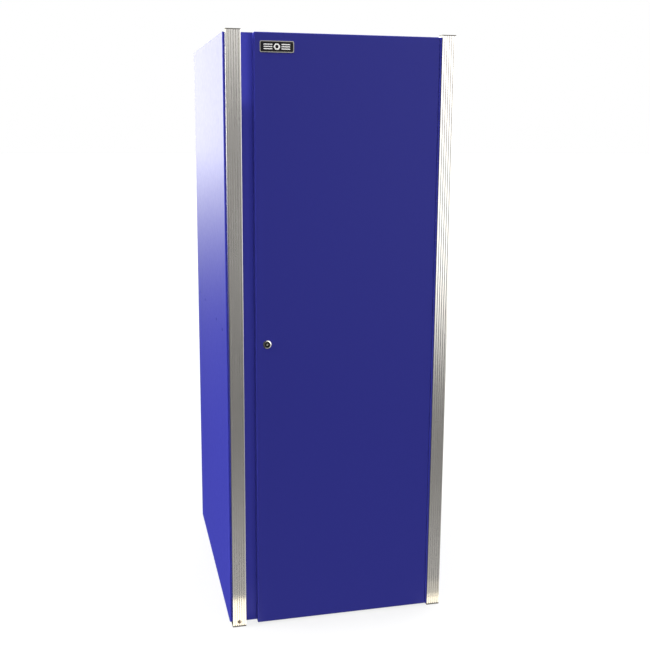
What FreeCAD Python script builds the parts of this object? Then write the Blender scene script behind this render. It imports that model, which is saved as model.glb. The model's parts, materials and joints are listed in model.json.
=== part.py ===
import FreeCAD, Part
import math
import os

# Locker cabinet: a tall steel side locker with one full-height door between two fluted
# aluminium corner trims. Millimetres, +Z up, the door faces -Y. The origin is on the floor,
# at the centre of the footprint, with the lock ring in front and the screw heads behind counted in.

V = FreeCAD.Vector
X = V(1, 0, 0)
Y = V(0, 1, 0)
Z = V(0, 0, 1)

# Cabinet shell
overall_width = 474.0
overall_depth = 619.0
overall_height = 1244.5
trim_rise = 4.6
sheet = 1.2
corner_bend_inside = 2.0
bend_inside = 0.8
left_stile_width = 65.0
right_stile_width = 52.0
stile_return = 14.0
back_flange_width = 18.0
top_rail_height = 43.0
base_height = 45.0
base_lip = 16.0
top_skirt_height = 25.0

# Corner trims
trim_width = 29.2
trim_depth = 23.7
trim_inset = 3.16
trim_wall = 2.0
trim_ribs = 6
groove_depth = 0.9
groove_width = 1.8
trim_edge_radius = 0.8
trim_cap_thickness = 2.0
bracket_height = 16.0
bracket_gap = 1.5
bracket_face_width = 14.0
bracket_foot_width = 4.0
trim_screw_height = 11.2
trim_screw_thread_radius = 2.0
trim_screw_head_radius = 4.1
trim_screw_head_height = 2.2
trim_screw_length = 12.0

# Door
door_thickness = 22.0
door_bottom_gap = 4.5
door_top_gap = 0.4
pull_gap = 25.1
door_panel_flange = 10.0
stiffener_width = 60.0
stiffener_foot = 12.0
stiffener_end_gap = 20.0

# Piano hinge
hinge_gap = 5.0
hinge_axis_depth = 1.0
knuckle_count = 30
knuckle_radius = 2.2
knuckle_end_gap = 0.15
pin_radius = 1.2
pin_clearance = 0.05
pin_end_recess = 0.5
leaf_thickness = 1.1
leaf_clearance = 0.8
door_leaf_margin = 3.0
frame_leaf_foot = 16.0
hinge_rivet_count = 8
hinge_rivet_radius = 1.6
hinge_rivet_head_radius = 3.0
hinge_rivet_head_height = 0.8
hinge_rivet_end = 60.0

# Lock
lock_from_door_edge = 23.3
lock_height = 621.0
lock_proud = 2.8
lock_ring_radius = 9.1
lock_ring_rounding = 2.7
lock_barrel_radius = 8.0
lock_hole_clearance = 0.15
lock_plug_radius = 6.0
lock_plug_clearance = 0.05
lock_plug_recess = 0.4
key_post_radius = 2.2
key_groove_radius = 4.6
key_groove_depth = 6.0
key_notch_width = 1.2
lock_barrel_behind_door = 4.2
lock_nut_flats = 19.0
lock_nut_thickness = 3.6
plug_behind_barrel = 0.4
cam_thickness = 2.0
cam_length = 30.0
cam_width = 12.0
cam_hub_radius = 8.0
cam_notch_height = 64.0
cam_notch_start = 2.5
cam_square = 6.0
cam_screw_head_radius = 4.0
cam_screw_head_height = 1.8
cam_screw_length = 8.0

# Badge
badge_length = 67.4
badge_height = 21.8
badge_from_door_edge = 11.5
badge_from_door_top = 16.3
badge_corner_radius = 3.0
badge_rim_width = 1.5
badge_rim_height = 1.6
badge_plate_thickness = 1.0
emblem_height = 0.3
emblem_hex_radius = 6.6
emblem_hole_radius = 3.4
emblem_bar_length = 17.0
emblem_bar_height = 1.8
emblem_bar_pitch = 4.2
emblem_gap = 2.4

# Magnetic catches, strikes and bumpers
catch_length = 44.0
catch_depth = 13.0
catch_height = 15.0
catch_from_door_edge = 62.0
catch_screw_spacing = 34.0
catch_screw_radius = 1.5
catch_screw_head_radius = 3.0
catch_screw_head_height = 1.6
magnet_length = 22.0
magnet_height = 9.0
magnet_depth = 8.0
strike_length = 36.0
strike_height = 12.0
strike_gap = 0.3
bumper_radius = 5.0
bumper_from_door_edge = 24.0

# Shelf standards, shelves and clips
standard_width = 20.0
standard_depth = 8.0
standard_from_centre = 175.3
standard_top_gap = 4.0
first_slot_height = 74.0
slot_pitch = 25.0
slot_width = 4.0
slot_height = 12.0
slot_top_margin = 12.0
shelf_flange = 20.0
shelf_side_gap = 1.0
shelf_front_gap = 8.0
shelf_back_gap = 6.0
shelf_slots = {"lower_shelf": 9, "middle_shelf": 20, "upper_shelf": 32}
clip_thickness = 2.0
clip_width = 14.0
clip_tab = 14.0
clip_drop = 34.0
clip_hook_clearance = 0.4
clip_hook_reach = 2.0

# Fasteners and holes
hole_clearance = 0.1
side_hole_radius = 3.5
side_hole_height = 636.4
side_hole_outer_spacing = 457.0
side_hole_inner_spacing = 241.0
back_screw_radius = 2.0
back_screw_head_radius = 4.0
back_screw_head_height = 1.6
back_screw_length = 6.5
back_screws_per_side = 5
back_screw_end = 60.0

# Planes and edges worked out from the sizes above
half_width = overall_width / 2
cabinet_height = overall_height - trim_rise
panel_top = cabinet_height - sheet
trim_face = (lock_proud - back_screw_head_height - overall_depth) / 2
frame_face = trim_face + trim_depth
frame_inside = frame_face + stile_return
back_face = trim_face + overall_depth
back_inside = back_face - 2 * sheet
body_middle = (frame_face + back_face) / 2
side_inside = half_width - sheet
left_stile_edge = -half_width + left_stile_width
right_stile_edge = half_width - right_stile_width
top_rail_bottom = panel_top - top_rail_height
trim_outer = half_width - trim_inset
trim_inner = trim_outer - trim_width
door_left = -trim_inner + pull_gap
door_right = trim_inner - hinge_gap
door_bottom = door_bottom_gap
door_top = cabinet_height - door_top_gap
door_back = trim_face + door_thickness
hinge_x = door_right + hinge_gap / 2
hinge_y = trim_face + hinge_axis_depth
knuckle_pitch = (door_top - door_bottom) / knuckle_count
lock_x = door_left + lock_from_door_edge
lock_barrel_end = door_back + lock_barrel_behind_door
cam_front = lock_barrel_end + plug_behind_barrel
standard_face = side_inside - standard_depth


def block(x0, x1, y0, y1, z0, z1):
    """A box between two corners."""
    return Part.makeBox(x1 - x0, y1 - y0, z1 - z0, V(x0, y0, z0))


def rod(radius, start, direction, length):
    """A cylinder from a point along a direction."""
    return Part.makeCylinder(radius, length, start, direction)


def heading(start, end):
    """The unit vector from one point to the next."""
    step = end.sub(start)
    return step.normalize()


def left_of(direction):
    """The unit vector a quarter turn left of a direction in the drawing plane."""
    return V(-direction.y, direction.x, 0)


def parallel(points, distance):
    """The same open path moved to the left of its travel, with mitred corners."""
    headings = [heading(a, b) for a, b in zip(points, points[1:])]
    moved = [points[0] + left_of(headings[0]) * distance]
    for corner, before, after in zip(points[1:-1], headings, headings[1:]):
        normals = left_of(before) + left_of(after)
        moved.append(corner + normals * (distance / (1 + left_of(before).dot(left_of(after)))))
    moved.append(points[-1] + left_of(headings[-1]) * distance)
    return moved


def turns_left(before, corner, after):
    """Whether a path bends to the left at a corner."""
    return heading(before, corner).cross(heading(corner, after)).z > 0


def rounded_path(points, radii):
    """Straight runs joined by tangent arcs, one radius for each inner corner."""
    edges = []
    start = points[0]
    for before, corner, after, radius in zip(points, points[1:], points[2:], radii):
        arriving = heading(before, corner)
        leaving = heading(corner, after)
        half_turn = arriving.getAngle(leaving) / 2
        setback = radius * math.tan(half_turn)
        arc_start = corner - arriving * setback
        arc_end = corner + leaving * setback
        inward = (leaving - arriving).normalize()
        arc_middle = corner + inward * (radius / math.cos(half_turn) - radius)
        edges.append(Part.LineSegment(start, arc_start).toShape())
        edges.append(Part.Arc(arc_start, arc_middle, arc_end).toShape())
        start = arc_end
    edges.append(Part.LineSegment(start, points[-1]).toShape())
    return edges


def bent_sheet(points, thickness, inside_radius, length):
    """A strip of sheet to the left of a path in the XY plane, extruded up by a length."""
    corners = list(zip(points, points[1:], points[2:]))
    bends = [turns_left(*corner) for corner in corners]
    outside_radius = inside_radius + thickness
    right_radii = [outside_radius if bend else inside_radius for bend in bends]
    left_radii = [inside_radius if bend else outside_radius for bend in bends]
    other_side = parallel(points, thickness)
    edges = rounded_path(points, right_radii)
    edges.append(Part.LineSegment(points[-1], other_side[-1]).toShape())
    edges += rounded_path(other_side[::-1], left_radii[::-1])
    edges.append(Part.LineSegment(other_side[0], points[0]).toShape())
    face = Part.Face(Part.Wire(Part.__sortEdges__(edges)))
    return face.extrude(Z * length)


def lay_along_x(shape):
    """Turn a shape drawn as (y, z) and extruded up, so that it runs along X."""
    turned = shape.copy()
    turned.Placement = FreeCAD.Placement(V(), FreeCAD.Rotation(V(1, 1, 1), 120))
    return turned


def mirrored(shape):
    """The same piece on the other side of the cabinet."""
    return shape.mirror(V(), X)


def soften(shape, radius, opening):
    """Round every edge except those of the face towards the opening."""
    reach = max(vertex.Point.dot(opening) for vertex in shape.Vertexes)
    near = reach - radius
    edges = [e for e in shape.Edges if min(v.Point.dot(opening) for v in e.Vertexes) < near]
    return shape.makeFillet(radius, edges)


def tray(low, high, opening):
    """A sheet pan with rounded bends, open on one side."""
    beyond = 2 * sheet
    outer = soften(block(low.x, high.x, low.y, high.y, low.z, high.z), bend_inside + sheet, opening)
    hollow = block(
        low.x + sheet,
        high.x - sheet,
        low.y + sheet + beyond * min(opening.y, 0),
        high.y - sheet + beyond * max(opening.y, 0),
        low.z + sheet + beyond * min(opening.z, 0),
        high.z - sheet + beyond * max(opening.z, 0),
    )
    return outer.cut(soften(hollow, bend_inside, opening))


def slab_with_round_corners(x0, x1, z0, z1, y0, y1, radius):
    """An upright plate with rounded corners."""
    plate = block(x0, x1, y0, y1, z0, z1)
    corners = [edge for edge in plate.Edges if abs(edge.tangentAt(edge.FirstParameter).y) > 0.5]
    return plate.makeFillet(radius, corners)


def even_places(start, end, count):
    """Evenly spaced positions, both ends included."""
    step = (end - start) / (count - 1)
    return [start + step * index for index in range(count)]


def domed_head(radius, height, base, outward):
    """A low domed screw or rivet head, standing on a base point."""
    side = outward.cross(V(outward.y, outward.z, outward.x))
    sphere_radius = (radius * radius + height * height) / (2 * height)
    centre = base + outward * (height - sphere_radius)
    half_angle = math.asin(radius / sphere_radius) / 2
    shoulder = side * math.sin(half_angle) + outward * math.cos(half_angle)
    rim = base + side * radius
    crown = base + outward * height
    outline = Part.Wire([
        Part.LineSegment(base, rim).toShape(),
        Part.Arc(rim, centre + shoulder * sphere_radius, crown).toShape(),
        Part.LineSegment(crown, base).toShape(),
    ])
    return Part.Face(outline).revolve(base, outward, 360)


def screw(radius, length, head_radius, head_height, base, outward):
    """A domed screw whose head stands on the base point and whose shank runs inwards."""
    head = domed_head(head_radius, head_height, base, outward)
    shank = rod(radius, base, outward * -1, length)
    return head.fuse(shank).removeSplitter()


# Shell

def side_hole_places():
    """Distances along Y of the four bolt holes in each side."""
    spacings = (side_hole_outer_spacing, side_hole_inner_spacing)
    return [body_middle + sign * spacing / 2 for spacing in spacings for sign in (-1, 1)]


def make_side_panel(stile_edge):
    """Left side sheet: back flange, side, rounded front corner, stile and its return."""
    points = [
        V(-half_width + back_flange_width, back_face),
        V(-half_width, back_face),
        V(-half_width, frame_face),
        V(stile_edge, frame_face),
        V(stile_edge, frame_inside),
    ]
    panel = bent_sheet(points, sheet, corner_bend_inside, panel_top)
    for y in side_hole_places():
        hole = rod(side_hole_radius, V(-half_width - sheet, y, side_hole_height), X, 3 * sheet)
        panel = panel.cut(hole)
    for z in back_screw_heights():
        panel = panel.cut(back_screw_hole(-1, z))
    return panel


def make_left_side_panel():
    """The lock side, with a notch that the lock's cam swings through."""
    panel = make_side_panel(left_stile_edge)
    notch = block(
        left_stile_edge - 2 * sheet,
        left_stile_edge + sheet,
        frame_face + cam_notch_start,
        frame_inside + sheet,
        lock_height - cam_notch_height / 2,
        lock_height + cam_notch_height / 2,
    )
    return panel.cut(notch)


def make_right_side_panel():
    """The hinge side."""
    return mirrored(make_side_panel(-right_stile_edge))


def make_top_panel():
    """Flat lid over the side sheets, with a skirt at the sides and back."""
    lid = block(-half_width, half_width, frame_face, back_face, panel_top, cabinet_height)
    corners = [e for e in lid.Edges if e.Length < 2 * sheet and e.BoundBox.YMax < body_middle]
    lid = lid.makeFillet(corner_bend_inside + sheet, corners)
    skirt_front = frame_inside + sheet
    skirt_bottom = panel_top - top_skirt_height
    skirt = block(-side_inside, side_inside, skirt_front, back_inside, skirt_bottom, panel_top)
    upright = [e for e in skirt.Edges if e.Length < 2 * top_skirt_height]
    rear_corners = [e for e in upright if e.BoundBox.YMin > body_middle]
    skirt = skirt.makeFillet(corner_bend_inside, rear_corners)
    hollow = block(
        -side_inside + sheet,
        side_inside - sheet,
        skirt_front - sheet,
        back_inside - sheet,
        skirt_bottom - sheet,
        panel_top,
    )
    return lid.fuse(skirt.cut(hollow)).removeSplitter()


def make_bottom_panel():
    """Raised floor pan whose walls turn in to a lip that stands on the ground."""
    low = V(-side_inside, frame_inside, 0)
    high = V(side_inside, back_inside, base_height)
    pan = tray(low, high, V(0, 0, -1))
    lip = block(low.x + sheet / 2, high.x - sheet / 2, low.y + sheet / 2, high.y - sheet / 2, 0, sheet)
    gap = block(
        low.x + base_lip,
        high.x - base_lip,
        low.y + base_lip,
        high.y - base_lip,
        -sheet,
        2 * sheet,
    )
    walls = soften(block(low.x, high.x, low.y, high.y, 0, base_height), bend_inside + sheet, V(0, 0, -1))
    return pan.fuse(lip.cut(gap).common(walls)).removeSplitter()


def back_screw_heights():
    """Heights of the screws down each side of the back."""
    return even_places(back_screw_end, panel_top - back_screw_end, back_screws_per_side)


def back_screw_x():
    """Distance of the back screws from the middle of the cabinet."""
    return half_width - back_flange_width / 2


def back_screw_hole(side, z):
    """The hole for one back screw, through the side's flange and the back sheet."""
    start = V(side * back_screw_x(), back_face + sheet, z)
    return rod(back_screw_radius + hole_clearance, start, Y * -1, 4 * sheet)


def make_back_panel():
    """Flat back sheet, inside the flanges of the two sides."""
    panel = block(-side_inside, side_inside, back_inside, back_face - sheet, 0, panel_top)
    gap = corner_bend_inside
    for x in (-side_inside, side_inside):
        relief = block(x - gap, x + gap, back_inside - sheet, back_face, -sheet, panel_top + sheet)
        panel = panel.cut(relief)
    for side in (-1, 1):
        for z in back_screw_heights():
            panel = panel.cut(back_screw_hole(side, z))
    return panel


def make_back_panel_screws():
    """The screws that hold the back sheet to the side flanges."""
    screws = []
    for side in (-1, 1):
        for z in back_screw_heights():
            base = V(side * back_screw_x(), back_face, z)
            screws.append(screw(
                back_screw_radius,
                back_screw_length,
                back_screw_head_radius,
                back_screw_head_height,
                base,
                Y,
            ))
    return Part.makeCompound(screws)


def make_rail(bottom, top, catch_flange_z):
    """A front rail: a channel between the stiles' returns, with holes for the catch's screws."""
    points = [
        V(frame_inside, top),
        V(frame_face, top),
        V(frame_face, bottom),
        V(frame_inside, bottom),
    ]
    channel = bent_sheet(points, sheet, bend_inside, right_stile_edge - left_stile_edge)
    rail = lay_along_x(channel)
    rail.translate(V(left_stile_edge, 0, 0))
    for x in catch_screw_places():
        start = V(x, catch_screw_y(), catch_flange_z - 2 * sheet)
        rail = rail.cut(rod(catch_screw_radius + hole_clearance, start, Z, 4 * sheet))
    return rail


def make_top_rail():
    """The rail over the door opening."""
    return make_rail(top_rail_bottom, panel_top, top_rail_bottom)


def make_bottom_rail():
    """The rail under the door opening."""
    return make_rail(0, base_height, base_height)


# Corner trims

def groove_centres():
    """Distances of the grooves from the trim's inner edge."""
    return [trim_width * index / trim_ribs for index in range(1, trim_ribs)]


def make_right_trim_extrusion():
    """Fluted channel, open at the back, with its two outer edges rounded."""
    bottom = trim_cap_thickness
    length = overall_height - 2 * trim_cap_thickness
    outer = block(trim_inner, trim_outer, trim_face, frame_face, bottom, bottom + length)
    front_edges = [e for e in outer.Edges if e.Length > length / 2 and e.BoundBox.YMax < body_middle]
    front_edges = [e for e in front_edges if e.CenterOfMass.y < trim_face + trim_wall]
    outer = outer.makeFillet(trim_edge_radius, front_edges)
    hollow = block(
        trim_inner + trim_wall,
        trim_outer - trim_wall,
        trim_face + trim_wall,
        frame_face + trim_wall,
        bottom - trim_wall,
        bottom + length + trim_wall,
    )
    trim = outer.cut(hollow)
    groove_radius = (groove_width ** 2 / 4 + groove_depth ** 2) / (2 * groove_depth)
    for offset in groove_centres():
        centre = V(trim_inner + offset, trim_face + groove_depth - groove_radius, 0)
        trim = trim.cut(rod(groove_radius, centre, Z, overall_height))
    return trim


def trim_middle():
    """Distance of a trim's middle line from the middle of the cabinet."""
    return (trim_inner + trim_outer) / 2


def make_trim(side):
    """One corner trim; the left one has the hole for the screw at its foot."""
    trim = make_right_trim_extrusion()
    if side > 0:
        return trim
    start = V(-trim_middle(), trim_face - trim_wall, trim_screw_height)
    return mirrored(trim).cut(rod(trim_screw_thread_radius + hole_clearance, start, Y, 3 * trim_wall))


def make_trim_cap(side, at_top):
    """The flat plate that closes one end of a trim."""
    bottom = overall_height - trim_cap_thickness if at_top else 0
    cap = block(trim_inner, trim_outer, trim_face, frame_face, bottom, bottom + trim_cap_thickness)
    corners = [e for e in cap.Edges if e.Length < 2 * trim_cap_thickness]
    corners = [e for e in corners if e.CenterOfMass.y < trim_face + trim_wall]
    cap = cap.makeFillet(trim_edge_radius, corners)
    return cap if side > 0 else mirrored(cap)


def make_trim_bracket(side, at_top):
    """A hat-shaped bracket on the stile that carries the face of the trim."""
    middle = trim_middle()
    half_face = bracket_face_width / 2
    bracket_back = trim_face + trim_wall + sheet
    points = [
        V(middle + half_face + bracket_foot_width, frame_face),
        V(middle + half_face, frame_face),
        V(middle + half_face, bracket_back),
        V(middle - half_face, bracket_back),
        V(middle - half_face, frame_face),
        V(middle - half_face - bracket_foot_width, frame_face),
    ]
    bracket = bent_sheet(points, sheet, bend_inside, bracket_height)
    foot = trim_cap_thickness + bracket_gap
    top_bottom = panel_top - foot - bracket_height
    bracket.translate(V(0, 0, top_bottom if at_top else foot))
    if side > 0:
        return bracket
    bracket = mirrored(bracket)
    if at_top:
        return bracket
    start = V(-middle, trim_face, trim_screw_height)
    return bracket.cut(rod(trim_screw_thread_radius + hole_clearance, start, Y, trim_screw_length))


def make_trim_screw():
    """The screw at the foot of the left trim, with a cross recess."""
    base = V(-trim_middle(), trim_face, trim_screw_height)
    body = screw(
        trim_screw_thread_radius,
        trim_screw_length,
        trim_screw_head_radius,
        trim_screw_head_height,
        base,
        Y * -1,
    )
    arm = trim_screw_head_radius / 2
    slot = trim_screw_head_radius / 8
    front = trim_face - trim_screw_head_height
    depth = trim_screw_head_height / 2
    for half_x, half_z in ((arm, slot), (slot, arm)):
        body = body.cut(block(
            base.x - half_x, base.x + half_x, front, front + depth, base.z - half_z, base.z + half_z))
    return body


# Shelves and their standards

def slot_z(index):
    """Height of the middle of one slot in the standards."""
    return first_slot_height + slot_pitch * index


def standard_bottom():
    """The standards stand on the cabinet's floor."""
    return base_height


def standard_top():
    """The standards end just under the lid's skirt."""
    return panel_top - top_skirt_height - standard_top_gap


def slot_count():
    """As many slots as fit below the top of a standard."""
    room = standard_top() - slot_top_margin - slot_height / 2 - first_slot_height
    return int(room // slot_pitch) + 1


def standard_y(row):
    """Distance along Y of the front (-1) or rear (+1) standards."""
    return body_middle + row * standard_from_centre


def make_shelf_standard(side, row):
    """A slotted channel on the inside of one side sheet."""
    middle = standard_y(row)
    points = [
        V(side_inside, middle - standard_width / 2),
        V(standard_face, middle - standard_width / 2),
        V(standard_face, middle + standard_width / 2),
        V(side_inside, middle + standard_width / 2),
    ]
    channel = bent_sheet(points[::-1], sheet, bend_inside, standard_top() - standard_bottom())
    channel.translate(V(0, 0, standard_bottom()))
    slots = []
    for index in range(slot_count()):
        slots.append(block(
            standard_face - sheet,
            standard_face + 2 * sheet,
            middle - slot_width / 2,
            middle + slot_width / 2,
            slot_z(index) - slot_height / 2,
            slot_z(index) + slot_height / 2,
        ))
    channel = channel.cut(slots)
    return channel if side > 0 else mirrored(channel)


def shelf_seat(name):
    """Height at which a shelf's flanges rest on its clips."""
    return slot_z(shelf_slots[name]) + slot_height / 2


def make_shelf(name):
    """A shelf pan and its four turned-down flanges, parted along the ends of the bends."""
    half = standard_face - shelf_side_gap
    seat = shelf_seat(name)
    front = frame_inside + shelf_front_gap
    back = back_inside - shelf_back_gap
    top = seat + shelf_flange
    pan = tray(V(-half, front, seat), V(half, back, top), V(0, 0, -1))
    bend = bend_inside + sheet
    parts = [
        block(-half, half, front, front + bend, seat, top),
        block(-half, half, back - bend, back, seat, top),
        block(-half, -half + bend, front + bend, back - bend, seat, top),
        block(half - bend, half, front + bend, back - bend, seat, top),
        block(-half + bend, half - bend, front + bend, back - bend, seat, top),
    ]
    return Part.makeCompound([pan.common(part).Solids[0] for part in parts])


def make_shelf_clip(side, row, seat, upper_slot):
    """A clip with two hooks in the slots and a tab under the shelf's flange."""
    middle = standard_y(row)
    y0 = middle - clip_width / 2
    y1 = middle + clip_width / 2
    plate = block(standard_face - clip_thickness, standard_face, y0, y1, seat - clip_drop, seat)
    tab = block(standard_face - clip_tab, standard_face, y0, y1, seat - clip_thickness, seat)
    clip = plate.fuse(tab)
    hook_half_width = slot_width / 2 - clip_hook_clearance
    hook_half_height = slot_height / 2 - clip_hook_clearance
    for index in (upper_slot, upper_slot - 1):
        z = slot_z(index)
        clip = clip.fuse(block(
            standard_face - clip_thickness,
            standard_face + sheet + clip_hook_reach,
            middle - hook_half_width,
            middle + hook_half_width,
            z - hook_half_height,
            min(z + hook_half_height, seat),
        ))
    clip = clip.removeSplitter()
    return clip if side > 0 else mirrored(clip)


def make_shelf_clips(name):
    """The four clips of one shelf."""
    clips = []
    for side in (-1, 1):
        for row in (-1, 1):
            clips.append(make_shelf_clip(side, row, shelf_seat(name), shelf_slots[name]))
    return Part.makeCompound(clips)


# Hinge

def knuckle_spans(first):
    """Bottom and top of every second knuckle."""
    spans = []
    for index in range(first, knuckle_count, 2):
        bottom = door_bottom + knuckle_pitch * index + knuckle_end_gap
        spans.append((bottom, bottom + knuckle_pitch - 2 * knuckle_end_gap))
    return spans


def add_knuckles(leaf, first, plate_x0, plate_x1, plate_front):
    """Join every second knuckle to a leaf by a tongue of its plate."""
    pieces = []
    for bottom, top in knuckle_spans(first):
        pieces.append(rod(knuckle_radius, V(hinge_x, hinge_y, bottom), Z, top - bottom))
        pieces.append(block(plate_x0, plate_x1, hinge_y, plate_front + leaf_thickness, bottom, top))
    whole = leaf.fuse(pieces)
    bore = rod(pin_radius + pin_clearance, V(hinge_x, hinge_y, 0), Z, overall_height)
    return whole.cut(bore).removeSplitter()


def leaf_front():
    """Where both leaves' plates start, clear of the other leaf's knuckles."""
    return hinge_y + knuckle_radius + leaf_clearance


def door_leaf_back():
    """Rear edge of the door's leaf."""
    return door_back - door_leaf_margin


def hinge_rivet_y():
    """Rivet line in the middle of the door's leaf."""
    return (leaf_front() + door_leaf_back()) / 2


def hinge_rivet_heights():
    """Heights of the rivets down the door's leaf."""
    return even_places(door_bottom + hinge_rivet_end, door_top - hinge_rivet_end, hinge_rivet_count)


def hinge_rivet_hole(z):
    """The hole for one rivet through the leaf and the door's return."""
    start = V(door_right - 2 * sheet, hinge_rivet_y(), z)
    return rod(hinge_rivet_radius + hole_clearance, start, X, 2 * sheet + 2 * leaf_thickness)


def make_hinge_door_leaf():
    """The leaf riveted to the door's right return, with its knuckles."""
    plate_x1 = door_right + leaf_thickness
    plate = block(door_right, plate_x1, leaf_front(), door_leaf_back(), door_bottom, door_top)
    leaf = add_knuckles(plate, 1, door_right, plate_x1, leaf_front())
    return leaf.cut([hinge_rivet_hole(z) for z in hinge_rivet_heights()])


def make_hinge_frame_leaf():
    """The cranked leaf: beside the trim, then behind the door on the face of the stile."""
    points = [
        V(trim_inner, leaf_front()),
        V(trim_inner, frame_face),
        V(trim_inner - frame_leaf_foot, frame_face),
    ]
    plate = bent_sheet(points, leaf_thickness, bend_inside, door_top - door_bottom)
    plate.translate(V(0, 0, door_bottom))
    return add_knuckles(plate, 0, trim_inner - leaf_thickness, trim_inner, leaf_front())


def make_hinge_pin():
    """The pin through all the knuckles."""
    bottom = door_bottom + pin_end_recess
    return rod(pin_radius, V(hinge_x, hinge_y, bottom), Z, door_top - pin_end_recess - bottom)


def make_hinge_rivets():
    """Rivets through the door's leaf and return."""
    rivets = []
    for z in hinge_rivet_heights():
        base = V(door_right + leaf_thickness, hinge_rivet_y(), z)
        rivets.append(screw(
            hinge_rivet_radius,
            leaf_thickness + 2 * sheet,
            hinge_rivet_head_radius,
            hinge_rivet_head_height,
            base,
            X,
        ))
    return Part.makeCompound(rivets)


# Door

def lock_hole():
    """The hole for the lock's barrel, right through the door."""
    start = V(lock_x, trim_face - sheet, lock_height)
    return rod(lock_barrel_radius + lock_hole_clearance, start, Y, door_thickness + 2 * sheet)


def make_door_skin():
    """Outer pan of the door, with its returns turned back."""
    skin = tray(V(door_left, trim_face, door_bottom), V(door_right, door_back, door_top), Y)
    return skin.cut([lock_hole()] + [hinge_rivet_hole(z) for z in hinge_rivet_heights()])


def make_door_inner_panel():
    """Inner pan of the door, nested between the skin's returns."""
    low = V(door_left + sheet, door_back - door_panel_flange, door_bottom + sheet)
    high = V(door_right - sheet, door_back, door_top - sheet)
    panel = tray(low, high, Y * -1)
    return panel.cut([lock_hole()] + [hinge_rivet_hole(z) for z in hinge_rivet_heights()])


def make_door_stiffener():
    """A hat-section stiffener between the door's two pans."""
    middle = (door_left + door_right) / 2
    half = stiffener_width / 2
    front = trim_face + sheet
    back = door_back - sheet
    points = [
        V(middle - half - stiffener_foot, front),
        V(middle - half, front),
        V(middle - half, back - sheet),
        V(middle + half, back - sheet),
        V(middle + half, front),
        V(middle + half + stiffener_foot, front),
    ]
    bottom = door_bottom + sheet + stiffener_end_gap
    top = door_top - sheet - stiffener_end_gap
    hat = bent_sheet(points, sheet, bend_inside, top - bottom)
    hat.translate(V(0, 0, bottom))
    return hat


# Badge

def badge_span():
    """The badge's left, right, bottom and top edges."""
    left = door_left + badge_from_door_edge
    top = door_top - badge_from_door_top
    return left, left + badge_length, top - badge_height, top


def make_badge_rim():
    """Raised bright frame around the badge."""
    x0, x1, z0, z1 = badge_span()
    front = trim_face - badge_rim_height
    width = badge_rim_width
    outer = slab_with_round_corners(x0, x1, z0, z1, front, trim_face, badge_corner_radius)
    inner = slab_with_round_corners(
        x0 + width, x1 - width, z0 + width, z1 - width, front - 1, trim_face + 1, badge_corner_radius - width)
    return outer.cut(inner)


def make_badge_plate():
    """Plain plate inside the rim."""
    x0, x1, z0, z1 = badge_span()
    width = badge_rim_width
    front = trim_face - badge_plate_thickness
    return slab_with_round_corners(
        x0 + width, x1 - width, z0 + width, z1 - width, front, trim_face, badge_corner_radius - width)


def make_badge_emblem():
    """A plain hexagon nut between three short bars on each side."""
    x0, x1, z0, z1 = badge_span()
    middle = V((x0 + x1) / 2, trim_face - badge_plate_thickness, (z0 + z1) / 2)
    corners = []
    for index in range(7):
        angle = math.radians(60 * index)
        corners.append(middle + V(math.cos(angle), 0, math.sin(angle)) * emblem_hex_radius)
    nut = Part.Face(Part.makePolygon(corners)).extrude(Y * -emblem_height)
    nut = nut.cut(rod(emblem_hole_radius, middle + Y, Y * -1, 2 + emblem_height))
    pieces = [nut]
    start = emblem_hex_radius + emblem_gap
    for side in (-1, 1):
        inner_x = middle.x + side * start
        outer_x = middle.x + side * (start + emblem_bar_length)
        for row in (-1, 0, 1):
            z = middle.z + row * emblem_bar_pitch
            pieces.append(block(
                min(inner_x, outer_x),
                max(inner_x, outer_x),
                middle.y - emblem_height,
                middle.y,
                z - emblem_bar_height / 2,
                z + emblem_bar_height / 2,
            ))
    return Part.makeCompound(pieces)


# Lock

def lock_axis_point(y):
    """A point on the lock's axis."""
    return V(lock_x, y, lock_height)


def make_lock_housing():
    """Ring on the face of the door and a barrel through it."""
    ring = rod(lock_ring_radius, lock_axis_point(trim_face), Y * -1, lock_proud)
    front_edges = [e for e in ring.Edges if e.Closed and e.BoundBox.YMax < trim_face - lock_proud / 2]
    ring = ring.makeFillet(lock_ring_rounding, front_edges)
    barrel = rod(lock_barrel_radius, lock_axis_point(trim_face - 1), Y, lock_barrel_end - trim_face + 1)
    bore_start = lock_axis_point(trim_face - 2 * lock_proud)
    bore_length = lock_barrel_end - trim_face + 4 * lock_proud
    bore = rod(lock_plug_radius + lock_plug_clearance, bore_start, Y, bore_length)
    return ring.fuse(barrel).cut(bore).removeSplitter()


def make_lock_nut():
    """Hexagon nut that clamps the lock to the door."""
    corners = []
    corner_radius = lock_nut_flats / math.sqrt(3)
    for index in range(7):
        angle = math.radians(60 * index + 30)
        corners.append(lock_axis_point(door_back) + V(math.cos(angle), 0, math.sin(angle)) * corner_radius)
    nut = Part.Face(Part.makePolygon(corners)).extrude(Y * lock_nut_thickness)
    hole = rod(lock_barrel_radius, lock_axis_point(door_back - 1), Y, lock_nut_thickness + 2)
    return nut.cut(hole)


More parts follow.
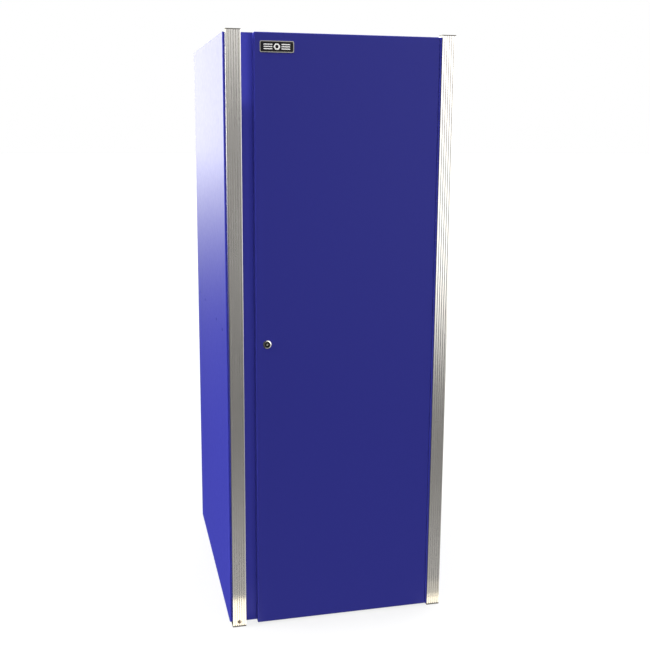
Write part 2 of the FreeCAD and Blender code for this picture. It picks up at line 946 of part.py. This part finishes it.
def make_lock_plug():
    """The part that the tubular key turns: a centre post in a round groove, and a square tail."""
    front = trim_face - lock_proud + lock_plug_recess
    plug = rod(lock_plug_radius, lock_axis_point(front), Y, cam_front - front)
    groove = rod(key_groove_radius, lock_axis_point(front), Y, key_groove_depth)
    groove = groove.cut(rod(key_post_radius, lock_axis_point(front), Y, key_groove_depth))
    notch = block(
        lock_x - key_notch_width / 2,
        lock_x + key_notch_width / 2,
        front,
        front + key_groove_depth / 2,
        lock_height + key_groove_radius / 2,
        lock_height + lock_plug_radius + 1,
    )
    half = cam_square / 2
    tail = block(
        lock_x - half,
        lock_x + half,
        cam_front,
        cam_front + cam_thickness,
        lock_height - half,
        lock_height + half,
    )
    screw_hole = rod(
        catch_screw_radius, lock_axis_point(cam_front + cam_thickness), Y * -1, cam_screw_length)
    return plug.cut(groove).cut(notch).fuse(tail).cut(screw_hole).removeSplitter()


def make_lock_cam():
    """Flat cam that hangs down when unlocked and swings behind the stile when locked."""
    hub = rod(cam_hub_radius, lock_axis_point(cam_front), Y, cam_thickness)
    half = cam_width / 2
    tip_z = lock_height - cam_length + half
    arm = block(
        lock_x - half,
        lock_x + half,
        cam_front,
        cam_front + cam_thickness,
        tip_z,
        lock_height,
    )
    tip = rod(half, V(lock_x, cam_front, tip_z), Y, cam_thickness)
    square = cam_square / 2 + hole_clearance
    hole = block(
        lock_x - square,
        lock_x + square,
        cam_front - 1,
        cam_front + cam_thickness + 1,
        lock_height - square,
        lock_height + square,
    )
    return hub.fuse([arm, tip]).cut(hole).removeSplitter()


def make_cam_screw():
    """The screw that keeps the cam on the plug's tail."""
    base = lock_axis_point(cam_front + cam_thickness)
    return screw(
        catch_screw_radius - hole_clearance,
        cam_screw_length - 1,
        cam_screw_head_radius,
        cam_screw_head_height,
        base,
        Y,
    )


# Catches, strikes and bumpers

def catch_x():
    """Middle of both catches, near the door's free edge."""
    return door_left + catch_from_door_edge


def catch_front():
    """Front face of the catches, a small gap behind the strikes."""
    return door_back + sheet + strike_gap


def catch_screw_places():
    """Distances along X of a catch's two screws."""
    return [catch_x() - catch_screw_spacing / 2, catch_x() + catch_screw_spacing / 2]


def catch_screw_y():
    """Line of the catch's screws, under the middle of the rail's flange."""
    return (catch_front() + catch_depth + frame_face) / 2


def catch_span(at_top):
    """Bottom and top of a catch."""
    if at_top:
        return top_rail_bottom - catch_height, top_rail_bottom
    return base_height, base_height + catch_height


def make_catch(at_top):
    """Plastic body of a catch, with a pocket for the magnet and two screw holes."""
    bottom, top = catch_span(at_top)
    half = catch_length / 2
    body = block(catch_x() - half, catch_x() + half, catch_front(), catch_front() + catch_depth, bottom, top)
    for x in catch_screw_places():
        start = V(x, catch_screw_y(), bottom - 1)
        body = body.cut(rod(catch_screw_radius + hole_clearance, start, Z, catch_height + 2))
    return body.cut(make_catch_magnet(at_top))


def make_catch_magnet(at_top):
    """The magnet in the front of a catch."""
    bottom, top = catch_span(at_top)
    middle = (bottom + top) / 2
    return block(
        catch_x() - magnet_length / 2,
        catch_x() + magnet_length / 2,
        catch_front(),
        catch_front() + magnet_depth,
        middle - magnet_height / 2,
        middle + magnet_height / 2,
    )


def make_catch_screws():
    """Two screws for each catch, driven into the rails' flanges."""
    screws = []
    for at_top in (True, False):
        bottom, top = catch_span(at_top)
        for x in catch_screw_places():
            base = V(x, catch_screw_y(), bottom if at_top else top)
            outward = Z * -1 if at_top else Z
            screws.append(screw(
                catch_screw_radius,
                catch_height + 3 * sheet,
                catch_screw_head_radius,
                catch_screw_head_height,
                base,
                outward,
            ))
    return Part.makeCompound(screws)


def make_strike(at_top):
    """The steel strike on the inside of the door, facing a catch's magnet."""
    bottom, top = catch_span(at_top)
    middle = (bottom + top) / 2
    half = strike_length / 2
    return slab_with_round_corners(
        catch_x() - half,
        catch_x() + half,
        middle - strike_height / 2,
        middle + strike_height / 2,
        door_back,
        door_back + sheet,
        2 * sheet,
    )


def make_door_bumpers():
    """Rubber pads on the rails that the closing door meets."""
    x = door_left + bumper_from_door_edge
    thickness = frame_face - door_back - strike_gap
    pads = []
    for z in (base_height / 2, panel_top - top_rail_height / 2):
        pads.append(rod(bumper_radius, V(x, frame_face, z), Y * -1, thickness))
    return Part.makeCompound(pads)


def make_nodes():
    """Every node of the cabinet by name."""
    nodes = {
        "left_side_panel": make_left_side_panel(),
        "right_side_panel": make_right_side_panel(),
        "top_panel": make_top_panel(),
        "bottom_panel": make_bottom_panel(),
        "back_panel": make_back_panel(),
        "back_panel_screws": make_back_panel_screws(),
        "top_rail": make_top_rail(),
        "bottom_rail": make_bottom_rail(),
        "trim_screw": make_trim_screw(),
        "hinge_frame_leaf": make_hinge_frame_leaf(),
        "hinge_pin": make_hinge_pin(),
        "hinge_door_leaf": make_hinge_door_leaf(),
        "hinge_rivets": make_hinge_rivets(),
        "door_skin": make_door_skin(),
        "door_inner_panel": make_door_inner_panel(),
        "door_stiffener": make_door_stiffener(),
        "badge_rim": make_badge_rim(),
        "badge_plate": make_badge_plate(),
        "badge_emblem": make_badge_emblem(),
        "lock_housing": make_lock_housing(),
        "lock_nut": make_lock_nut(),
        "lock_plug": make_lock_plug(),
        "lock_cam": make_lock_cam(),
        "cam_screw": make_cam_screw(),
        "catch_screws": make_catch_screws(),
        "door_bumpers": make_door_bumpers(),
    }
    for side, side_name in ((-1, "left"), (1, "right")):
        nodes[side_name + "_trim"] = make_trim(side)
        for at_top, end_name in ((False, "bottom"), (True, "top")):
            nodes[f"{side_name}_trim_{end_name}_cap"] = make_trim_cap(side, at_top)
            nodes[f"{side_name}_trim_{end_name}_bracket"] = make_trim_bracket(side, at_top)
        for row, row_name in ((-1, "front"), (1, "rear")):
            nodes[f"{row_name}_{side_name}_shelf_standard"] = make_shelf_standard(side, row)
    for name in shelf_slots:
        nodes[name] = make_shelf(name)
        nodes[name + "_clips"] = make_shelf_clips(name)
    for at_top, end_name in ((False, "lower"), (True, "upper")):
        nodes[end_name + "_catch"] = make_catch(at_top)
        nodes[end_name + "_catch_magnet"] = make_catch_magnet(at_top)
        nodes[end_name + "_strike"] = make_strike(at_top)
    return nodes


os.makedirs("parts", exist_ok=True)
for name, shape in make_nodes().items():
    shape.exportStep(f"parts/{name}.step")
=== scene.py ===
import json
import math

import bpy
from mathutils import Matrix, Vector


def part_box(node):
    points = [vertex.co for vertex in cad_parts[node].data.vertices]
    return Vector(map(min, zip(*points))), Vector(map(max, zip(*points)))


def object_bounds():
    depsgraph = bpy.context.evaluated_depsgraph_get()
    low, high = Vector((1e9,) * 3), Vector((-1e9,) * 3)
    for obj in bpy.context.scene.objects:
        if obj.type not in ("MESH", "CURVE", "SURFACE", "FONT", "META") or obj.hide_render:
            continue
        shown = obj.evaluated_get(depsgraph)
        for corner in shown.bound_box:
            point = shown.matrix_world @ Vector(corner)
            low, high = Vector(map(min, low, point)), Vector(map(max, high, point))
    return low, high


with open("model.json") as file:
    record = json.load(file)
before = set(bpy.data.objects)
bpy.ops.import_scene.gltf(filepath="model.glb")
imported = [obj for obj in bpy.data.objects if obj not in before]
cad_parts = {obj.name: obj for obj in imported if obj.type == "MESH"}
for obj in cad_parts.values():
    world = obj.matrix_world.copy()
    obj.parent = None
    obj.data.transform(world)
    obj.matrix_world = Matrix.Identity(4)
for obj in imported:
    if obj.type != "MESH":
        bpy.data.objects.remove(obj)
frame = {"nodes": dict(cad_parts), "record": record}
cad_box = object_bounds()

# A tall blue locker cabinet with fluted aluminium corner trims, on a plain pale floor.
# Metres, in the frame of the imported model: +Z up, the door faces -Y.

nodes = frame["nodes"]
scene = bpy.context.scene

trim_low, trim_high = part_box("left_trim")
face_y = trim_low.y
ground_z = cad_box[0].z

WHITE = (1.0, 1.0, 1.0, 1.0)


class NodeWords:
    """Short words for building a node tree."""

    def __init__(self, tree):
        self.tree = tree

    def link(self, output, socket):
        self.tree.links.new(output, socket)

    def math(self, operation, first, second=0.0):
        """One arithmetic node; each term is a number or another node's output."""
        node = self.tree.nodes.new("ShaderNodeMath")
        node.operation = operation
        for socket, value in zip(node.inputs, (first, second)):
            if isinstance(value, (int, float)):
                socket.default_value = value
            else:
                self.link(value, socket)
        return node.outputs[0]


# ---------------------------------------------------------------- camera

CAMERA_FROM_FACE = Vector((-0.4654, -1.8478, 1.0663))
CAMERA_YAW = math.radians(13.71)
CAMERA_PITCH = math.radians(-10.62)
CAMERA_ROLL = math.radians(0.48)
CAMERA_LENS_MM = 51.89
CAMERA_SENSOR_MM = 36.0
CAMERA_SHIFT = (-0.0150, -0.0392)
CAMERA_NEAR = 0.05
CAMERA_FAR = 100.0


def make_camera():
    data = bpy.data.cameras.new("camera")
    data.lens = CAMERA_LENS_MM
    data.sensor_width = CAMERA_SENSOR_MM
    data.shift_x, data.shift_y = CAMERA_SHIFT
    data.clip_start = CAMERA_NEAR
    data.clip_end = CAMERA_FAR
    camera = bpy.data.objects.new("camera", data)
    scene.collection.objects.link(camera)
    turn = Matrix.Rotation(-CAMERA_YAW, 4, "Z")
    tilt = Matrix.Rotation(math.pi / 2 + CAMERA_PITCH, 4, "X")
    roll = Matrix.Rotation(CAMERA_ROLL, 4, "Z")
    place = Matrix.Translation(Vector((0.0, face_y, 0.0)) + CAMERA_FROM_FACE)
    camera.matrix_world = place @ turn @ tilt @ roll
    scene.camera = camera


# ---------------------------------------------------------------- lamps

# Diffuse light comes from the suns and the glints beside the left trim. Reflections come
# from the world and the bounces off the floor. So each of the two is set by itself.

BOUNCE_WIDTH = 0.085
BOUNCE_COLOUR = (1.0, 0.89, 0.66)
BOUNCE_ASIDE = 0.01
BOUNCE_GAP = 0.002

GLINT_WIDTH = 0.016
GLINT_OFF_TRIM = 0.0015
GLINT_BEHIND_FACE = 0.011
GLINT_AIM = Vector((1.0, 1.2, 0.0))
TOP_GLINT_LENGTH = 0.14

# name, direction from the cabinet to the light, strength, spread in degrees
SUNS = (
    ("overhead", (0.0, -0.05, 1.0), 2.0, 90.0),
    ("front_key", (-0.20, -1.0, 0.50), 1.42, 40.0),
    ("front_ambient", (-0.30, -1.0, 0.30), 0.72, 170.0),
    ("left_fill", (-1.0, 0.12, 0.45), 6.9, 30.0),
    ("right_fill", (1.0, 0.45, 0.40), 3.4, 40.0),
    ("rear_fill", (0.25, 1.0, 0.40), 2.2, 40.0),
)

# trim, depth in front of it, radiance
BOUNCES = (
    ("left_trim", 0.114, 1.34),
    ("right_trim", 0.042, 0.84),
    ("right_trim", 0.100, 0.20),
)

# name, length down from the trim's top, radiance
GLINTS = (
    ("top_glint", TOP_GLINT_LENGTH, 2.1),
    ("long_glint", trim_high.z - trim_low.z, 0.5),
)


def add_lamp(name, data):
    """A lamp that the camera doesn't see."""
    lamp = bpy.data.objects.new(name, data)
    scene.collection.objects.link(lamp)
    lamp.visible_camera = False
    return lamp


def aim(lamp, direction):
    lamp.rotation_mode = "QUATERNION"
    lamp.rotation_quaternion = direction.to_track_quat("-Z", "Y")


def area_data(name, width, length, radiance):
    """A rectangle that shines with the same radiance whatever its size."""
    data = bpy.data.lights.new(name, "AREA")
    data.shape = "RECTANGLE"
    data.size = width
    data.size_y = length
    data.energy = radiance * math.pi * width * length
    return data


def soft_sun(name, towards_light, strength, angle_degrees):
    """A distant soft light, with no reflection of its own."""
    data = bpy.data.lights.new(name, "SUN")
    data.energy = strength
    data.angle = math.radians(angle_degrees)
    lamp = add_lamp(name, data)
    aim(lamp, -Vector(towards_light))
    lamp.visible_glossy = False


def floor_bounce(trim, depth, radiance):
    """Warm light off the floor just in front of one trim, seen only in the metal of its foot."""
    low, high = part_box(trim)
    name = trim + "_bounce"
    data = area_data(name, BOUNCE_WIDTH, depth, radiance)
    data.color = BOUNCE_COLOUR
    lamp = add_lamp(name, data)
    middle = (low.x + high.x) / 2
    lamp.location = (middle + BOUNCE_ASIDE, face_y - depth / 2 - BOUNCE_GAP, BOUNCE_GAP)
    lamp.rotation_euler = (math.pi, 0.0, 0.0)
    lamp.visible_diffuse = False


def frame_glint(name, length, radiance):
    """Light thrown by the inner side of the left trim onto the frame beside it."""
    low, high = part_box("left_trim")
    lamp = add_lamp(name, area_data(name, GLINT_WIDTH, length, radiance))
    lamp.location = (
        high.x + GLINT_OFF_TRIM, face_y + GLINT_BEHIND_FACE, high.z - length / 2)
    aim(lamp, GLINT_AIM)
    lamp.visible_glossy = False


def make_lights():
    for sun in SUNS:
        soft_sun(*sun)
    for bounce in BOUNCES:
        floor_bounce(*bounce)
    for glint in GLINTS:
        frame_glint(*glint)


# ---------------------------------------------------------------- world

# Each edge is a pair: where a rise along one axis of the unit direction starts and ends.

FRONT_EDGE = (-0.3, 0.2)
FRONT_LIGHT = 0.182
FRONT_COLOUR = (1.0, 0.985, 0.96, 1.0)
WALL_LEFT_EDGE = (0.17, 0.30)
WALL_LOWER_EDGE = (-0.285, -0.135)
WALL_LIGHT = 1.55
RIGHT_EDGE = (0.45, 0.62)
RIGHT_LIGHT = 0.9
RIGHT_LIGHT_ALL_ROUND = 0.30
UPPER_EDGE = (0.02, 0.12)
UPPER_LIGHT = 0.75
LOW_EDGE = (0.34, 0.47)
LOW_LIGHT = 0.29
LEFT_EDGE = (0.0, 0.25)
LEFT_LOSS = 0.96
LIGHT_EVERYWHERE = 0.02

BACK_EDGE = (0.55, 0.85)
BACK_RISE = (-0.27, -0.03)
BACK_CURVE = 3.2
BACK_LIGHT = 3.3
BACK_COLOUR = (1.0, 1.0, 0.84, 1.0)
BACK_FOOT_EDGE = (-0.33, -0.2)
BACK_FOOT_LIGHT = 0.015


class WorldNodes(NodeWords):
    """Words for a world whose brightness depends on the direction looked in."""

    def rise(self, value, edge, smooth=True):
        """0 below the edge's start, 1 above its end."""
        start, end = edge
        node = self.tree.nodes.new("ShaderNodeMapRange")
        node.interpolation_type = "SMOOTHSTEP" if smooth else "LINEAR"
        node.inputs["From Min"].default_value = start
        node.inputs["From Max"].default_value = end
        self.link(value, node.inputs["Value"])
        return node.outputs["Result"]

    def scaled(self, factor, *terms):
        result = terms[0]
        for term in terms[1:]:
            result = self.math("MULTIPLY", result, term)
        return self.math("MULTIPLY", result, factor)

    def total(self, first, *terms):
        result = first
        for term in terms:
            result = self.math("ADD", result, term)
        return result

    def glow(self, colour, strength=None):
        node = self.tree.nodes.new("ShaderNodeBackground")
        node.inputs["Color"].default_value = colour
        if strength is not None:
            self.link(strength, node.inputs["Strength"])
        return node.outputs[0]


def front_of_room(words, x, y, z):
    """What is reflected from the front: dim, with a bright wall on the right, dark on the left."""
    backwards = words.math("MULTIPLY", y, -1.0)
    leftwards = words.math("MULTIPLY", x, -1.0)
    downwards = words.math("MULTIPLY", z, -1.0)
    wall = words.scaled(
        WALL_LIGHT, words.rise(x, WALL_LEFT_EDGE), words.rise(z, WALL_LOWER_EDGE))
    right = words.scaled(RIGHT_LIGHT, words.rise(x, RIGHT_EDGE))
    upper = words.scaled(UPPER_LIGHT, words.rise(z, UPPER_EDGE))
    low = words.scaled(LOW_LIGHT, words.rise(downwards, LOW_EDGE))
    front = words.total(FRONT_LIGHT, wall, right, upper, low)
    loss = words.scaled(LEFT_LOSS, words.rise(leftwards, LEFT_EDGE))
    not_left = words.math("SUBTRACT", 1.0, loss)
    front = words.scaled(1.0, front, words.rise(backwards, FRONT_EDGE), not_left)
    side = words.scaled(RIGHT_LIGHT_ALL_ROUND, words.rise(x, RIGHT_EDGE))
    return words.total(LIGHT_EVERYWHERE, front, side)


def back_of_room(words, y, z):
    """What is reflected from behind: a backdrop that brightens upwards."""
    back = words.math("POWER", words.rise(z, BACK_RISE, smooth=False), BACK_CURVE)
    foot = words.scaled(BACK_FOOT_LIGHT, words.rise(z, BACK_FOOT_EDGE))
    return words.scaled(BACK_LIGHT, words.total(back, foot), words.rise(y, BACK_EDGE))


def make_world():
    """White to the camera, a studio in reflections, and no diffuse light."""
    world = bpy.data.worlds.new("studio")
    scene.world = world
    world.use_nodes = True
    world.cycles_visibility.diffuse = False
    tree = world.node_tree
    tree.nodes.clear()
    words = WorldNodes(tree)
    where = tree.nodes.new("ShaderNodeTexCoord")
    split = tree.nodes.new("ShaderNodeSeparateXYZ")
    words.link(where.outputs["Generated"], split.inputs[0])
    x, y, z = split.outputs

    mirrored = tree.nodes.new("ShaderNodeAddShader")
    words.link(words.glow(FRONT_COLOUR, front_of_room(words, x, y, z)), mirrored.inputs[0])
    words.link(words.glow(BACK_COLOUR, back_of_room(words, y, z)), mirrored.inputs[1])
    mix = tree.nodes.new("ShaderNodeMixShader")
    path = tree.nodes.new("ShaderNodeLightPath")
    output = tree.nodes.new("ShaderNodeOutputWorld")
    words.link(path.outputs["Is Camera Ray"], mix.inputs["Fac"])
    words.link(mirrored.outputs[0], mix.inputs[1])
    words.link(words.glow(WHITE), mix.inputs[2])
    words.link(mix.outputs[0], output.inputs["Surface"])


# ---------------------------------------------------------------- materials

TEXTURE_RANGE = (0.3, 0.7)

TRIM_RIBS = 6
# Painted shade in the grooves of the trims, and how it fades towards the foot.
GROOVE_EDGE = (0.21, 0.10)
GROOVE_END = 0.5
GROOVE_END_SOFTNESS = 0.05
GROOVE_SHADE_FADE_HEIGHTS = (0.25, 0.75)
GROOVE_SHADE_FADE_SHARE = 0.8

# Radii in metres over which the painted keyway shade starts around the lock's centre post.
LOCK_KEYWAY_SHADE_EDGE = (0.0020, 0.0024)


def shaded(colour, factor):
    return tuple(min(1.0, c * factor) for c in colour)


class Surface(NodeWords):
    """A Principled material and the words used to build its node tree."""

    def __init__(self, name, colour, metallic=0.0, roughness=0.5, ior=1.45):
        self.material = bpy.data.materials.new(name)
        self.material.use_nodes = True
        super().__init__(self.material.node_tree)
        self.shader = self.tree.nodes["Principled BSDF"]
        self.shader.inputs["Base Color"].default_value = (*colour, 1.0)
        self.shader.inputs["Metallic"].default_value = metallic
        self.shader.inputs["Roughness"].default_value = roughness
        self.shader.inputs["IOR"].default_value = ior

    def place(self, stretch=(1.0, 1.0, 1.0)):
        """Object coordinates in metres, stretched per axis."""
        coordinates = self.tree.nodes.new("ShaderNodeTexCoord")
        mapping = self.tree.nodes.new("ShaderNodeMapping")
        mapping.inputs["Scale"].default_value = stretch
        self.link(coordinates.outputs["Object"], mapping.inputs["Vector"])
        return mapping.outputs["Vector"]

    def noise(self, scale, detail=3.0, stretch=(1.0, 1.0, 1.0), roughness=0.5):
        node = self.tree.nodes.new("ShaderNodeTexNoise")
        node.inputs["Scale"].default_value = scale
        node.inputs["Detail"].default_value = detail
        node.inputs["Roughness"].default_value = roughness
        self.link(self.place(stretch), node.inputs["Vector"])
        return node.outputs["Fac"]

    def spread(self, value, low, high):
        """A texture value stretched from the middle of its range to low..high."""
        node = self.tree.nodes.new("ShaderNodeMapRange")
        node.inputs["From Min"].default_value = TEXTURE_RANGE[0]
        node.inputs["From Max"].default_value = TEXTURE_RANGE[1]
        node.inputs["To Min"].default_value = low
        node.inputs["To Max"].default_value = high
        self.link(value, node.inputs["Value"])
        return node.outputs["Result"]

    def vary_colour(self, value, low, high):
        ramp = self.tree.nodes.new("ShaderNodeValToRGB")
        ramp.color_ramp.elements[0].position = TEXTURE_RANGE[0]
        ramp.color_ramp.elements[0].color = (*low, 1.0)
        ramp.color_ramp.elements[1].position = TEXTURE_RANGE[1]
        ramp.color_ramp.elements[1].color = (*high, 1.0)
        self.link(value, ramp.inputs["Fac"])
        self.link(ramp.outputs["Color"], self.shader.inputs["Base Color"])

    def vary_roughness(self, value, low, high):
        self.link(self.spread(value, low, high), self.shader.inputs["Roughness"])

    def step(self, value, start, end):
        """0 up to start, 1 from end on; start may be the larger."""
        node = self.tree.nodes.new("ShaderNodeMapRange")
        node.interpolation_type = "SMOOTHSTEP"
        node.inputs["From Min"].default_value = min(start, end)
        node.inputs["From Max"].default_value = max(start, end)
        node.inputs["To Min"].default_value = 0.0 if start < end else 1.0
        node.inputs["To Max"].default_value = 1.0 if start < end else 0.0
        self.link(value, node.inputs["Value"])
        return node.outputs["Result"]

    def grooves(self, trim, ribs):
        """Painted shade: 1 in the grooves between the ribs of either trim, less near the foot."""
        low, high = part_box(trim)
        split = self.tree.nodes.new("ShaderNodeSeparateXYZ")
        self.link(self.place(), split.inputs[0])
        across = self.math("SUBTRACT", self.math("ABSOLUTE", split.outputs["X"]), low.x)
        across = self.math("MULTIPLY", across, ribs / (high.x - low.x))
        mask = self.step(self.math("PINGPONG", across, 0.5), *GROOVE_EDGE)
        near = GROOVE_END - GROOVE_END_SOFTNESS
        far = GROOVE_END + GROOVE_END_SOFTNESS
        mask = self.math("MULTIPLY", mask, self.step(across, near, far))
        mask = self.math("MULTIPLY", mask, self.step(across, ribs - near, ribs - far))
        # The painted groove shade is weaker towards the foot of the trim.
        height = self.step(split.outputs["Z"], *GROOVE_SHADE_FADE_HEIGHTS)
        groove_shade_fade = self.math(
            "ADD", self.math("MULTIPLY", height, GROOVE_SHADE_FADE_SHARE), 1.0 - GROOVE_SHADE_FADE_SHARE)
        return self.math("MULTIPLY", mask, groove_shade_fade)

    def from_axis(self, node_name):
        """Distance in metres from the Y axis through a node's middle."""
        low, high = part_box(node_name)
        split = self.tree.nodes.new("ShaderNodeSeparateXYZ")
        self.link(self.place(), split.inputs[0])
        x = self.math("SUBTRACT", split.outputs["X"], (low.x + high.x) / 2)
        z = self.math("SUBTRACT", split.outputs["Z"], (low.z + high.z) / 2)
        squares = self.math("ADD", self.math("MULTIPLY", x, x), self.math("MULTIPLY", z, z))
        return self.math("SQRT", squares)

    def darken(self, mask, share):
        """Take a share of the base colour away where the mask is 1."""
        kept = 1.0 - share
        colour = self.shader.inputs["Base Color"].links[0].from_socket
        mix = self.tree.nodes.new("ShaderNodeMix")
        mix.data_type = "RGBA"
        mix.blend_type = "MULTIPLY"
        self.link(mask, mix.inputs[0])
        self.link(colour, mix.inputs[6])
        mix.inputs[7].default_value = (kept, kept, kept, 1.0)
        self.link(mix.outputs[2], self.shader.inputs["Base Color"])

    def add_bump(self, value, height):
        """Bump of a height in metres."""
        node = self.tree.nodes.new("ShaderNodeBump")
        node.inputs["Distance"].default_value = height
        node.inputs["Strength"].default_value = 1.0
        self.link(value, node.inputs["Height"])
        self.link(node.outputs["Normal"], self.shader.inputs["Normal"])


def blue_paint():
    """Gloss blue powder coat with a fine orange-peel texture."""
    paint = Surface("blue_paint", (0.031, 0.033, 0.262), roughness=0.3, ior=1.2)
    paint.vary_colour(paint.noise(2.5, 2.0), (0.0307, 0.0327, 0.260), (0.0313, 0.0333, 0.264))
    paint.vary_roughness(paint.noise(90.0), 0.285, 0.315)
    paint.add_bump(paint.noise(420.0, 2.0), 0.000002)
    return paint.material


def trim_aluminium():
    """Extruded, lengthwise brushed aluminium, with shade painted darker into its grooves."""
    metal = Surface("trim_aluminium", (0.80, 0.785, 0.76), metallic=1.0, roughness=0.18)
    streaks = metal.noise(1.0, 5.0, (2600.0, 2600.0, 14.0), 0.6)
    metal.vary_colour(streaks, (0.785, 0.77, 0.745), (0.815, 0.80, 0.775))
    # Shade painted darker into the grooves between the ribs.
    metal.darken(metal.grooves("right_trim", TRIM_RIBS), 0.34)
    metal.vary_roughness(metal.noise(1.0, 3.0, (900.0, 900.0, 5.0)), 0.13, 0.18)
    metal.add_bump(streaks, 0.000003)
    return metal.material


def trim_cap():
    """Dull grey end plates of the trims."""
    metal = Surface("trim_cap", (0.13, 0.12, 0.10), metallic=0.2, roughness=0.45)
    metal.vary_colour(metal.noise(300.0), (0.12, 0.11, 0.09), (0.14, 0.13, 0.11))
    metal.vary_roughness(metal.noise(500.0), 0.4, 0.52)
    metal.add_bump(metal.noise(1500.0), 0.00001)
    return metal.material


def plated_steel(name, colour):
    """Plated steel with a faint spangle."""
    metal = Surface(name, colour, metallic=1.0, roughness=0.35)
    metal.vary_colour(metal.noise(160.0, 4.0), shaded(colour, 0.88), shaded(colour, 1.12))
    metal.vary_roughness(metal.noise(260.0, 4.0), 0.28, 0.42)
    metal.add_bump(metal.noise(1400.0), 0.000008)
    return metal.material


def chrome(name, colour, low, high):
    """Bright plating with faint handling marks."""
    metal = Surface(name, colour, metallic=1.0, roughness=low)
    metal.vary_roughness(metal.noise(700.0, 4.0), low, high)
    metal.vary_colour(metal.noise(350.0, 2.0), shaded(colour, 0.96), colour)
    return metal.material


def lock_plug_metal():
    """Plug metal, with shade painted dark over the recessed keyway and face around its centre
    post.
    """
    metal = Surface("lock_plug_metal", (0.5, 0.5, 0.48), metallic=1.0, roughness=0.25)
    metal.vary_colour(metal.noise(350.0, 2.0), (0.47, 0.47, 0.45), (0.52, 0.52, 0.50))
    # Shade painted dark into the keyway and plug face around the centre post.
    metal.darken(metal.step(metal.from_axis("lock_plug"), *LOCK_KEYWAY_SHADE_EDGE), 0.9)
    metal.vary_roughness(metal.noise(700.0, 4.0), 0.22, 0.34)
    return metal.material


def black_enamel():
    """Gloss black badge enamel."""
    enamel = Surface("badge_black", (0.006, 0.006, 0.007), roughness=0.16, ior=1.3)
    enamel.vary_colour(enamel.noise(600.0), (0.005, 0.005, 0.006), (0.008, 0.008, 0.009))
    enamel.vary_roughness(enamel.noise(900.0), 0.12, 0.2)
    enamel.add_bump(enamel.noise(1200.0, 2.0), 0.000006)
    return enamel.material


def moulded(name, colour, low, high, grain):
    """Matt moulded plastic, rubber or ferrite, with a fine grain."""
    stuff = Surface(name, colour, roughness=(low + high) / 2)
    stuff.vary_colour(stuff.noise(grain / 3), shaded(colour, 0.85), shaded(colour, 1.15))
    stuff.vary_roughness(stuff.noise(grain), low, high)
    stuff.add_bump(stuff.noise(grain), 0.00002)
    return stuff.material


def make_materials():
    """One material for each slot of the record."""
    return {
        "blue_paint": blue_paint(),
        "trim_aluminium": trim_aluminium(),
        "trim_cap": trim_cap(),
        "zinc_steel": plated_steel("zinc_steel", (0.62, 0.63, 0.62)),
        "screw_steel": plated_steel("screw_steel", (0.24, 0.20, 0.17)),
        "lock_chrome": chrome("lock_chrome", (0.62, 0.61, 0.58), 0.08, 0.16),
        "lock_plug_metal": lock_plug_metal(),
        "badge_black": black_enamel(),
        "badge_rim": chrome("badge_rim", (0.37, 0.36, 0.33), 0.14, 0.26),
        "badge_emblem": chrome("badge_emblem", (0.86, 0.86, 0.86), 0.2, 0.3),
        "catch_plastic": moulded("catch_plastic", (0.03, 0.03, 0.032), 0.5, 0.65, 900.0),
        "magnet": moulded("magnet", (0.10, 0.10, 0.10), 0.55, 0.75, 1500.0),
        "bumper_rubber": moulded("bumper_rubber", (0.02, 0.02, 0.02), 0.7, 0.85, 1100.0),
    }


def dress_nodes(materials):
    """Give every CAD node the material of its slot."""
    for part in frame["record"]["subparts"]:
        data = nodes[part["node"]].data
        data.materials.clear()
        data.materials.append(materials[part["material_slot"]])


# ---------------------------------------------------------------- floor

FLOOR_HALF_WIDTH = 30.0
FLOOR_DROP = 0.0004
FLOOR_GLOW = 0.78


def make_floor():
    """A wide pale floor that lights nothing itself."""
    half = FLOOR_HALF_WIDTH
    mesh = bpy.data.meshes.new("floor")
    corners = [(-half, -half, 0.0), (half, -half, 0.0), (half, half, 0.0), (-half, half, 0.0)]
    mesh.from_pydata(corners, [], [(0, 1, 2, 3)])
    floor = bpy.data.objects.new("floor", mesh)
    scene.collection.objects.link(floor)
    floor.location.z = ground_z - FLOOR_DROP
    paint = Surface("floor_paint", (0.12, 0.12, 0.12), roughness=0.9)
    paint.vary_colour(paint.noise(1.5, 2.0), (0.115, 0.115, 0.115), (0.125, 0.125, 0.125))
    paint.shader.inputs["Emission Color"].default_value = WHITE
    paint.shader.inputs["Emission Strength"].default_value = FLOOR_GLOW
    mesh.materials.append(paint.material)
    floor.visible_glossy = False
    floor.visible_diffuse = False


scene.view_settings.view_transform = "Standard"
make_camera()
make_world()
make_lights()
make_floor()
dress_nodes(make_materials())
